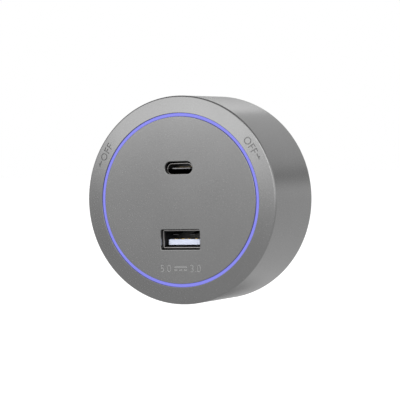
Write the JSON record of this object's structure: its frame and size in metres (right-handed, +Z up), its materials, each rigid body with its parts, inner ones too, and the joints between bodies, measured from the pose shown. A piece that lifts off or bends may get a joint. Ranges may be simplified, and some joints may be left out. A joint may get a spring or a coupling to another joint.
{
  "type": "turn-lock charging socket for a power track",
  "caption": "Round charging socket that is pushed into a slotted power track and turned a quarter turn, with a wide and a small USB port inside a lit ring.",
  "frame": {"origin": "centre of the seat plane, where the back of the socket bears on the track and the axis of turn meets it", "axes": "+Y along the axis of turn, into the track; the face looks towards -Y; +Z up with the socket turned on, +X to the right seen from the front"},
  "size_m": [0.065, 0.0422, 0.065],
  "materials": {
    "gunmetal_housing": "fine bead-blasted, anodised gunmetal",
    "gunmetal_panel": "fine grained gunmetal coat",
    "lit_ring": "diffusing light guide, lit blue",
    "circuit_board": "solder-masked laminate",
    "lamp": "clear moulded lamp",
    "screw_steel": "zinc-plated",
    "black_plastic": "matt moulded",
    "port_steel": "nickel-plated sheet",
    "pale_tongue": "pale bluish white moulding",
    "gold_contact": "gold-plated",
    "ferrite": "ground ferrite",
    "yellow_tape": "polyester tape",
    "capacitor_sleeve": "shrunk sleeve",
    "capacitor_can": "drawn can",
    "fuse_body": "moulded",
    "cover_plastic": "fine spark texture",
    "plate_steel": "zinc-plated sheet",
    "seat_plastic": "smooth sliding plastic",
    "key_plastic": "fine spark texture",
    "washer_fibre": "vulcanised fibre",
    "insulating_card": "electrical card",
    "head_plastic": "glass-filled moulding",
    "copper_contact": "copper, wiped bright at the nose",
    "spring_steel": "drawn wire",
    "brown_lead": "insulated lead",
    "blue_lead": "insulated lead"
  },
  "bodies": {
    "key": {"track_key": "key_plastic"},
    "socket": {"outer_housing": "gunmetal_housing", "front_panel": "gunmetal_panel", "light_guide_ring": "lit_ring", "lamp_board": "circuit_board", "lamp_chips": "lamp", "lamp_board_screws": "screw_steel", "inner_frame": "black_plastic", "usb_a_shell": "port_steel", "usb_a_tongue": "pale_tongue", "usb_a_contacts": "gold_contact", "usb_c_shell": "port_steel", "usb_c_tongue": "black_plastic", "usb_c_contacts": "gold_contact", "port_board": "circuit_board", "port_board_screws": "screw_steel", "power_link_pins": "black_plastic", "lamp_link_pins": "black_plastic", "power_board": "circuit_board", "transformer_core": "ferrite", "transformer_bobbin": "black_plastic", "transformer_winding": "yellow_tape", "input_capacitors": "capacitor_sleeve", "output_capacitors": "capacitor_can", "input_choke": "ferrite", "input_fuse": "fuse_body", "bridge_rectifier": "black_plastic", "control_chip": "black_plastic", "rear_cover": "cover_plastic", "rear_cover_screws": "screw_steel", "holding_plate": "plate_steel", "holding_plate_screws": "screw_steel", "seat_ring": "seat_plastic", "friction_washer": "washer_fibre", "neck_clip": "plate_steel", "insulating_disc": "insulating_card", "head_body": "head_plastic", "head_cap": "head_plastic", "head_cap_screws": "screw_steel", "contact_terminals": "copper_contact", "line_contact_spring": "spring_steel", "neutral_contact_spring": "spring_steel", "line_lead": "brown_lead", "neutral_lead": "blue_lead"},
    "line_plunger": {"line_contact": "copper_contact"},
    "neutral_plunger": {"neutral_contact": "copper_contact"}
  },
  "joints": [
    {"name": "turn_to_lock", "type": "hinge", "parent": "key", "child": "socket", "pos_m": [0, 0, 0], "axis": [0, 1, 0], "range_deg": [-90, 90]},
    {"name": "line_contact_press", "type": "slide", "parent": "socket", "child": "line_plunger", "axis": [0, 0, -1], "range_m": [0, 0.001], "stiffness_N_per_m": 900, "springref_m": -0.0015, "deforming": ["line_contact_spring"]},
    {"name": "neutral_contact_press", "type": "slide", "parent": "socket", "child": "neutral_plunger", "axis": [0, 0, 1], "range_m": [0, 0.001], "stiffness_N_per_m": 900, "springref_m": -0.0015, "deforming": ["neutral_contact_spring"]}
  ]
}
